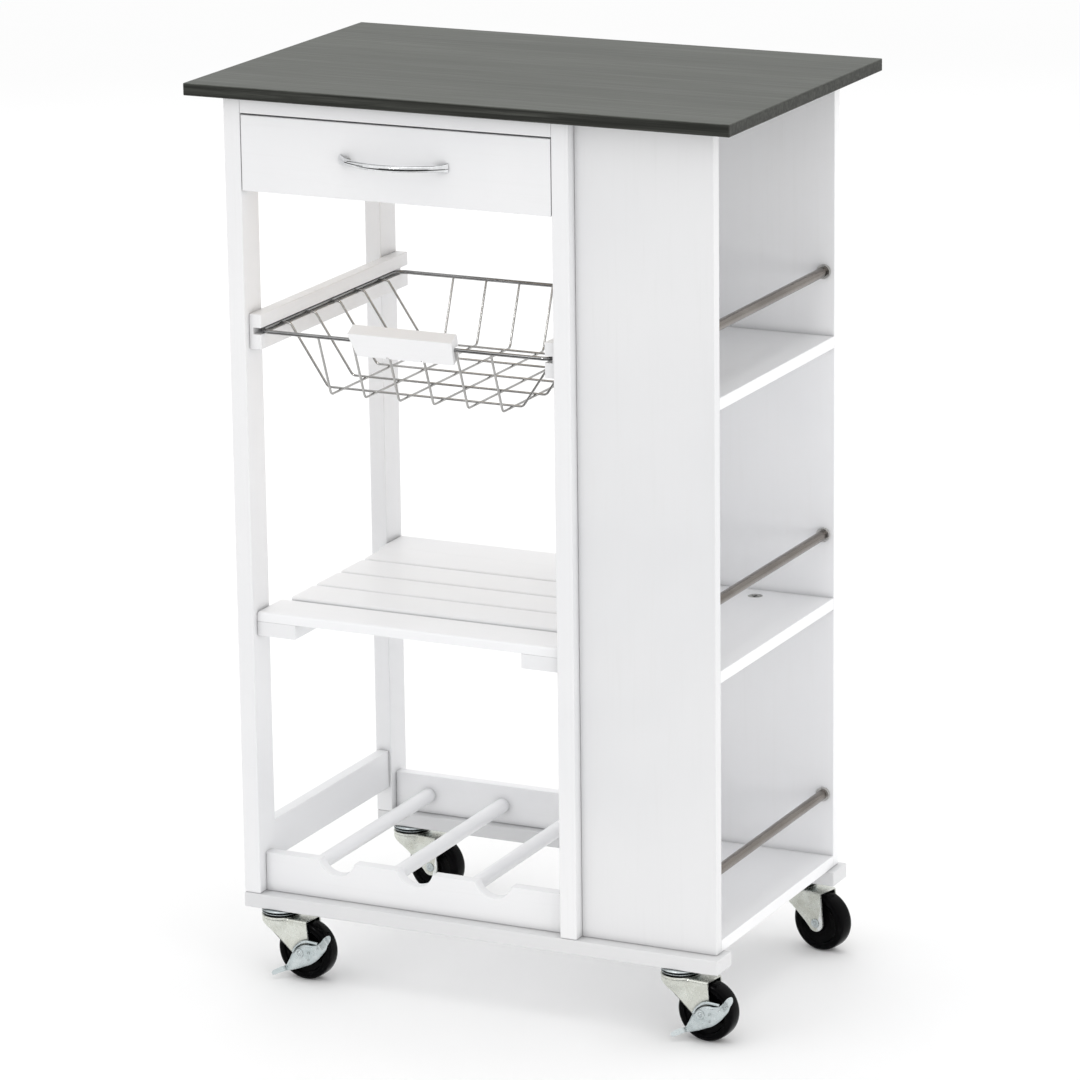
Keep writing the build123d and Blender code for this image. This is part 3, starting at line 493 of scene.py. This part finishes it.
# ======== Drawer handle ========
BOW_THICK = 5.4 * MM
BOW_TALL = 6.4 * MM
FOOT_THICK = 3.4 * MM
FOOT_INSET = 0.55                  # its centre line stops this share of its thickness inside
FLARE_START = 0.72                 # share of the half length where the foot begins
BOW_STEPS = 48
BOW_SIDES = 24


def bow_handle():
    """A bow of oval section along an arc, which flares into a flat foot at each end."""
    low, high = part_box("drawer_handle")
    centre = (low + high) / 2
    half_chord = (high.x - low.x) / 2
    foot_tall = high.z - low.z
    depth = high.y - low.y - BOW_THICK / 2
    reach = half_chord - FOOT_THICK * FOOT_INSET
    radius = (reach ** 2 + depth ** 2) / (2 * depth)
    spread_angle = math.asin(reach / radius)
    pivot = Vector((centre.x, low.y + BOW_THICK / 2 + radius, centre.z))
    rings = []
    for i in range(BOW_STEPS + 1):
        share = 2 * i / BOW_STEPS - 1
        turn = spread_angle * share
        outward = Vector((math.sin(turn), -math.cos(turn), 0))
        flare = max(0.0, (abs(share) - FLARE_START) / (1 - FLARE_START)) ** 2
        thick = BOW_THICK + (FOOT_THICK - BOW_THICK) * flare
        tall = BOW_TALL + (foot_tall - BOW_TALL) * flare
        point = pivot + outward * radius
        ring = []
        for k in range(BOW_SIDES):
            a = 2 * math.pi * k / BOW_SIDES
            spot = point + outward * (math.cos(a) * thick / 2) + UP * (math.sin(a) * tall / 2)
            spot.y = min(spot.y, high.y)
            ring.append(spot)
        rings.append(ring)
    return skin(rings)


make("drawer_bow_handle", [bow_handle()], "drawer", CHROME, ["drawer_handle"])


# ======== Casters ========
# The sizes of the casters are in millimetres. Heights are above the floor, unless a piece turns
# on the axle: then they are sideways from the wheel's middle plane.
RACE_STEPS = 72
WHEEL_STEPS = 96
BOLT_STEPS = 40
NUT_STEPS = 6


class Caster:
    """Places points in a caster's own directions: along the fork, outward to the brake side, up."""

    def __init__(self, corner):
        low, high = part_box(f"{corner}_caster_wheel")
        swivel = JOINTS[f"{corner}_swivel_turn"]
        self.axle = (low + high) / 2
        self.swivel = Vector(swivel["pos_m"])
        self.swivel.z = 0.0
        self.along = Vector((self.axle.x - self.swivel.x, self.axle.y - self.swivel.y, 0)).normalized()
        self.outward = UP.cross(-self.along).normalized()
        if self.outward.y > 0:
            self.outward = -self.outward

    def at(self, along, outward, up):
        """A point given in millimetres from the foot of the swivel axis."""
        return self.swivel + (self.along * along + self.outward * outward + UP * up) * MM


def loop_in_mm(points):
    """A profile for lathe, from millimetres."""
    return [(radius * MM, height * MM) for radius, height in points]


def race(caster):
    """The fixed race under the rail, with its rolled lip, and the rivet under the fork."""
    cover = [
        (0, 70), (18.6, 70), (19.7, 69.5), (20, 68.8), (19.7, 68.1), (18.6, 67.6), (16.4, 67.3),
        (15.6, 66.8), (16.4, 66.4), (18.8, 66.2), (19.3, 65.8), (19.1, 65.4), (18.0, 65.1), (3, 65.1),
        (3, 60.2), (5.5, 60.2), (5.3, 58.6), (4.2, 57.2), (2.2, 56.8), (0, 56.8),
    ]
    return lathe(loop_in_mm(cover), caster.swivel, UP, RACE_STEPS)


def dish(caster):
    """The swivelling race: a pressed dish with a rounded lip on top of the fork."""
    profile = [
        (3.2, 61), (17.5, 61), (19.0, 60.7), (19.6, 61.3), (19.6, 62.3), (18.9, 63.0), (17.0, 63.3),
        (15.2, 63.7), (14.6, 64.6), (3.2, 64.6),
    ]
    return lathe(loop_in_mm(profile), caster.swivel, UP, RACE_STEPS)


TRAIL = 31.0                       # axle from the swivel axis, along the fork
AXLE_HEIGHT = 30.0
FORK_TOP = 62.6
FORK_BEND = 3.0                    # outer radius between crown and legs
FORK_HALF = 13.5                   # half width outside the legs
FORK_THICK = 1.8
FORK_FRONT = -14.0                 # ends of the crown along the fork
FORK_REAR = 37.0
FORK_COLUMNS = 20
LEG_ROWS = 10
LEG_SHOULDER = 56.6                # the legs narrow below this height
LEG_EASE = 1.12                    # a slight hollow in the leg's front edge
TIP_RADIUS = 8.8
TIP_FRONT = (TRAIL - 5.7, AXLE_HEIGHT - 6.7)    # where the front edge meets the round tip
CROWN_RADIUS = 19.0                # the crown is round in plan as far as CROWN_END
CROWN_END = 14.0
FLARE_LOW = 44.0                   # the legs widen to the crown from here
FLARE_HIGH = 60.0


def leg_span(z):
    """Front and rear edge of a fork leg at height z."""
    drop = AXLE_HEIGHT - z
    if drop > 0:
        tip = math.sqrt(max(0.0, TIP_RADIUS ** 2 - drop ** 2))
        rear = TRAIL + tip
    else:
        tip = TIP_RADIUS
        rear = TRAIL + tip + (tip - (FORK_REAR - TRAIL)) * drop / (FORK_TOP - AXLE_HEIGHT)
    if z >= LEG_SHOULDER:
        return FORK_FRONT, rear
    if z <= TIP_FRONT[1]:
        return TRAIL - tip, rear
    share = (z - TIP_FRONT[1]) / (LEG_SHOULDER - TIP_FRONT[1])
    return TIP_FRONT[0] + (FORK_FRONT - TIP_FRONT[0]) * share ** LEG_EASE, rear


def fork_section(share, inset):
    """One section across the fork, as (along, outward, up) points, from tip to tip."""
    arc = [AXLE_HEIGHT - TIP_RADIUS * math.cos(math.radians(a)) for a in range(0, 81, 10)]
    bend_start = FORK_TOP - FORK_BEND
    heights = arc + [arc[-1] + (bend_start - arc[-1]) * i / LEG_ROWS for i in range(1, LEG_ROWS + 1)]

    def half_width(x, z):
        round_top = math.sqrt(max(0.0, CROWN_RADIUS ** 2 - x * x)) if x < CROWN_END else 0.0
        lift = min(1.0, max(0.0, (z - FLARE_LOW) / (FLARE_HIGH - FLARE_LOW)))
        return FORK_HALF + max(0.0, round_top - FORK_HALF) * lift * lift * (3 - 2 * lift) - inset

    side = []
    for z in heights:
        front, rear = leg_span(z)
        x = front + (rear - front) * share
        side.append((x, half_width(x, z), z))
    x = FORK_FRONT + (FORK_REAR - FORK_FRONT) * share
    radius = FORK_BEND - inset
    for turn in range(15, 91, 15):
        a = math.radians(turn)
        width = half_width(x, bend_start) - radius
        side.append((x, width + radius * math.cos(a), bend_start + radius * math.sin(a)))
    return side + [(x, -y, z) for x, y, z in reversed(side)]


def fork(caster):
    """The bent fork: two tapered legs that flare up into the crown."""
    rings = []
    for i in range(FORK_COLUMNS + 1):
        outside = fork_section(i / FORK_COLUMNS, 0.0)
        inside = fork_section(i / FORK_COLUMNS, FORK_THICK)
        rings.append([caster.at(*point) for point in outside + inside[::-1]])
    return skin(rings)


def wheel(caster):
    """A moulded wheel with a crowned tread, stepped faces and a hub."""
    half = [
        (3.05, 11), (7.6, 11), (8.6, 10.6), (9.2, 9.4), (9.6, 8.0), (10.6, 7.4), (13.0, 7.4),
        (13.3, 7.8), (14.2, 7.8), (14.5, 7.4), (19.8, 7.4), (21.2, 7.8), (22.2, 9.2), (23.0, 9.9),
        (24.4, 10.0), (24.7, 9.6), (25.1, 9.6), (25.4, 9.9), (26.8, 9.7), (28.2, 9.0), (29.2, 7.9),
        (29.7, 6.2), (29.9, 3.2), (30.0, 0.6),
    ]
    profile = half + [(radius, -height) for radius, height in reversed(half)]
    return lathe(loop_in_mm(profile), caster.axle, caster.outward, WHEEL_STEPS)


def axle(caster, head_start):
    """The axle bolt: a flat head with a ring groove on the brake side, a washer and a nut behind."""
    outer = FORK_HALF
    head = [(0, -outer - 1.0), (3, -outer - 1.0), (3, head_start)]
    head += [(radius, head_start + rise) for radius, rise in (
        (4.6, 0), (4.6, 0.5), (4.2, 1.0), (3.0, 1.2), (2.5, 0.7), (1.9, 0.6), (1.3, 1.1), (0, 1.3),
    )]
    washer = [(3, -outer), (6.0, -outer), (6.0, -outer - 0.7), (5.7, -outer - 0.9), (3, -outer - 0.9)]
    nut = [(0, -outer - 0.9), (4.6, -outer - 0.9), (5.0, -outer - 1.3), (5.0, -outer - 3.4),
           (4.5, -outer - 3.9), (0, -outer - 3.9)]
    return [
        lathe(loop_in_mm(head), caster.axle, caster.outward, BOLT_STEPS),
        lathe(loop_in_mm(washer), caster.axle, caster.outward, BOLT_STEPS),
        lathe(loop_in_mm(nut), caster.axle, caster.outward, NUT_STEPS),
    ]


# The lever lies in a plane of its own: lengthwise it rises towards the tab. Its outlines are
# (lengthwise, across), and a bent strip is (lengthwise, outward, lower edge, upper edge).
LEVER_ANGLE = math.radians(37.0)
LEVER_THICK = 1.2
LEVER_FACE = 14.4                  # inner face of the lever from the wheel's middle plane
LEVER_UPPER = [
    (-25.0, -3.6), (-16.0, 0.8), (-6.0, 5.4), (3.0, 6.0), (11.0, 3.8), (18.0, -0.6), (25.0, -2.8),
    (33.0, -1.4),
]
LEVER_LOWER = [
    (-25.0, -7.6), (-15.0, -11.2), (-5.0, -13.6), (4.0, -15.6), (14.0, -15.4), (22.0, -13.8),
    (28.0, -12.0), (33.0, -8.8),
]
LEVER_DOME = 1.9                   # height of the dome, which sinks towards both ends of the leaf
DOME_START = 10.0
DOME_END = 8.0
LEAF_COLUMNS = 72
LEAF_ROWS = 28
LEVER_CURL = [(-7.0, 5.0), (-1.0, 7.4), (6.0, 8.0), (13.0, 6.2), (19.0, 1.8), (24.0, -2.4)]
CURL_RADIUS = 1.5
CURL_RISE = 0.7                    # centre line above the leaf's inner face, in radii
CURL_STEPS = 24
DIMPLES = [(10.0, -4.5, 2.0), (5.5, -10.4, 1.6), (22.5, -6.2, 1.8)]    # lengthwise, across, radius
DIMPLE_DEPTH = 1.0
PEDAL = [
    (-21.0, 0.0, -9.0, -2.0), (-25.5, 0.4, -7.4, -1.8), (-28.0, 2.4, -6.4, -0.8),
    (-31.0, 6.0, -5.4, 0.0), (-34.0, 9.6, -4.6, 0.2), (-35.6, 11.4, -3.6, -0.6),
]
TAB = [
    (29.5, 0.2, -10.6, -2.4), (31.4, 0.0, -9.2, -1.6), (32.4, -1.4, -8.4, -1.0),
    (32.6, -4.0, -7.4, -0.7), (32.2, -8.0, -5.8, -0.9), (31.6, -11.0, -3.4, -1.8),
]


def lever(caster):
    """The pressed brake lever: a domed leaf with a curled edge, a pedal and a tab over the tread."""
    lengthwise = caster.along * math.cos(LEVER_ANGLE) + UP * math.sin(LEVER_ANGLE)
    across = UP * math.cos(LEVER_ANGLE) - caster.along * math.sin(LEVER_ANGLE)

    def at(u, v, w):
        return caster.axle + (lengthwise * u + across * v + caster.outward * (LEVER_FACE + w)) * MM

    def pressed(u, v):
        """Depth of the small round dimples at a place on the leaf."""
        depth = 0.0
        for centre_u, centre_v, radius in DIMPLES:
            gap = math.hypot(u - centre_u, v - centre_v) / radius
            depth += DIMPLE_DEPTH * max(0.0, 1 - gap * gap)
        return depth

    rings = []
    start, end = LEVER_UPPER[0][0], LEVER_UPPER[-1][0]
    for i in range(LEAF_COLUMNS + 1):
        u = start + (end - start) * i / LEAF_COLUMNS
        low, high = smooth_height(LEVER_LOWER, u), smooth_height(LEVER_UPPER, u)
        ends = min(1.0, (u - start) / DOME_START, (end - u) / DOME_END)
        points = []
        for j in range(LEAF_ROWS + 1):
            t = 2 * j / LEAF_ROWS - 1
            v = low + (high - low) * j / LEAF_ROWS
            points.append((u, v, LEVER_DOME * ends * (1 - t ** 6) - pressed(u, v)))
        outside = [at(u, v, w + LEVER_THICK) for u, v, w in points]
        inside = [at(u, v, max(w, 0.0)) for u, v, w in reversed(points)]
        rings.append(outside + inside)
    leaf = skin(rings)

    def strip(path):
        """A bent strip of the lever's thickness."""
        rings = []
        for i, (u, w, low, high) in enumerate(path):
            before, after = path[max(i - 1, 0)], path[min(i + 1, len(path) - 1)]
            run = math.hypot(after[0] - before[0], after[1] - before[1])
            side_u = (before[1] - after[1]) / run * LEVER_THICK
            side_w = (after[0] - before[0]) / run * LEVER_THICK
            rings.append([
                at(u, low, w), at(u, high, w),
                at(u + side_u, high, w + side_w), at(u + side_u, low, w + side_w),
            ])
        return skin(rings)

    curl_path = []
    start, end = LEVER_CURL[0][0], LEVER_CURL[-1][0]
    for i in range(CURL_STEPS + 1):
        u = start + (end - start) * i / CURL_STEPS
        curl_path.append(at(u, smooth_height(LEVER_CURL, u), CURL_RADIUS * CURL_RISE))
    curl = tube(curl_path, CURL_RADIUS * MM, caster.outward)
    return [leaf, strip(PEDAL), strip(TAB), curl]


HEAD_GAP = 2.9                     # the axle head stands this far off the lever's inner face
FORK_EASE = 0.3 * MM
LEVER_EASE = 0.25 * MM

races = []
for corner in CORNERS:
    caster = Caster(corner)
    races.append(race(caster))
    node = f"{corner}_caster"
    make(f"{corner}_fork_plate", [fork(caster), dish(caster)], f"{corner}_swivel", ZINC,
         [f"{node}_fork"], bevel=FORK_EASE)
    head_start = LEVER_FACE + HEAD_GAP if corner in BRAKED else FORK_HALF
    make(f"{corner}_axle_bolt", axle(caster, head_start), f"{corner}_swivel", BRIGHT_ZINC,
         [f"{node}_axle"])
    make(f"{corner}_moulded_wheel", [wheel(caster)], f"{corner}_wheel", WHEEL_BLACK,
         [f"{node}_wheel"])
    if corner in BRAKED:
        make(f"{corner}_pressed_lever", lever(caster), f"{corner}_brake", BRIGHT_ZINC,
             [f"{node}_brake_lever"], bevel=LEVER_EASE)
make("caster_races", races, "carcass", BRIGHT_ZINC, ["caster_stems"])


# ======== Floor, light and camera ========
def card(name, centre, facing, width, height, material):
    """A flat stage card that faces a point."""
    mesh = bpy.data.meshes.new(name)
    x, y = width / 2, height / 2
    mesh.from_pydata([(-x, -y, 0), (x, -y, 0), (x, y, 0), (-x, y, 0)], [], [(0, 1, 2, 3)])
    mesh.materials.append(material)
    made = bpy.data.objects.new(name, mesh)
    bpy.context.scene.collection.objects.link(made)
    made.location = centre
    made.rotation_mode = "QUATERNION"
    made.rotation_quaternion = (Vector(facing) - Vector(centre)).to_track_quat("Z", "Y")
    return made


floor_finish = Finish("pale_floor", Roughness=0.55, Specular_IOR_Level=0.0)
floor_tone = floor_finish.noise((1.5, 1.5, 1.5), 2.0)
floor_finish.link("Base Color", floor_finish.mix(floor_tone, (0.965, 0.965, 0.965), (0.98, 0.98, 0.98)))
FLOOR_SIZE = 60.0
card("floor", (0, 0, 0), (0, 0, 1), FLOOR_SIZE, FLOOR_SIZE, floor_finish.material)

# Dark cards that only reflections see: they put the dark lines into chrome, wire and wheels.
dark_finish = Finish("dark_flag", Roughness=0.9)
dark_tone = dark_finish.noise((1.0, 1.0, 1.0))
dark_finish.link("Base Color", dark_finish.mix(dark_tone, (0.01, 0.01, 0.01), (0.02, 0.02, 0.02)))
for name, centre, facing, width, height in (
    ("flag_front", (0.4, -4.6, 0.5), (0.4, 0.0, 0.5), 6.0, 1.0),
    ("flag_left", (-4.2, -1.0, 0.6), (0.0, -1.0, 0.6), 4.0, 1.2),
    ("flag_low", (0.2, -2.4, 0.002), (0.2, -2.4, 1.0), 5.0, 3.4),
):
    flag = card(name, centre, facing, width, height, dark_finish.material)
    flag.visible_camera = False
    flag.visible_diffuse = False
    flag.visible_shadow = False

world = bpy.data.worlds.new("studio")
world.use_nodes = True
sky = world.node_tree.nodes["Background"]
sky.inputs["Color"].default_value = (1.0, 1.0, 1.0, 1.0)
sky.inputs["Strength"].default_value = 1.0
bpy.context.scene.world = world


def area_light(name, place, target, size, watts, glint=False, matt=False):
    """A soft light. A glint light shows only in reflections, and a matt one never does."""
    data = bpy.data.lights.new(name, "AREA")
    data.shape = "RECTANGLE"
    data.size, data.size_y = size
    data.energy = watts
    lamp = bpy.data.objects.new(name, data)
    lamp.location = place
    lamp.rotation_mode = "QUATERNION"
    lamp.rotation_quaternion = (Vector(target) - Vector(place)).to_track_quat("-Z", "Y")
    lamp.visible_diffuse = not glint
    lamp.visible_glossy = not matt
    bpy.context.scene.collection.objects.link(lamp)


area_light("key", (-2.2, -3.0, 2.6), (0, 0, 0.5), (1.4, 1.4), 1.0)
area_light("top", (0.2, 0.0, 3.2), (0, 0, 0.5), (2.0, 2.0), 10.0)
area_light("side", (3.2, -1.9, 0.6), (0, 0, 0.5), (1.8, 0.8), 14.0, matt=True)
area_light("rear", (-1.8, 3.2, 2.4), (-0.1, 0, 0.4), (2.0, 1.6), 14.0, matt=True)
area_light("glint", (-0.6, -3.2, 2.4), (0, -0.2, 0.2), (0.5, 0.3), 24.0, glint=True)

AZIMUTH = math.radians(25.79)
ELEVATION = math.radians(15.18)
ROLL = math.radians(-0.73)
DISTANCE = 5.306
AIM = Vector((0.003, -0.003, 0.434))
LENS = 179.7
back = Vector((
    math.sin(AZIMUTH) * math.cos(ELEVATION),
    -math.cos(AZIMUTH) * math.cos(ELEVATION),
    math.sin(ELEVATION),
))
lens = bpy.data.cameras.new("camera")
lens.lens = LENS
lens.clip_end = 100.0
camera = bpy.data.objects.new("camera", lens)
camera.location = AIM + back * DISTANCE
camera.rotation_mode = "QUATERNION"
roll = Matrix.Rotation(ROLL, 3, "Z").to_quaternion()
camera.rotation_quaternion = (-back).to_track_quat("-Z", "Y") @ roll
bpy.context.scene.collection.objects.link(camera)
bpy.context.scene.camera = camera
bpy.context.scene.view_settings.view_transform = "Standard"
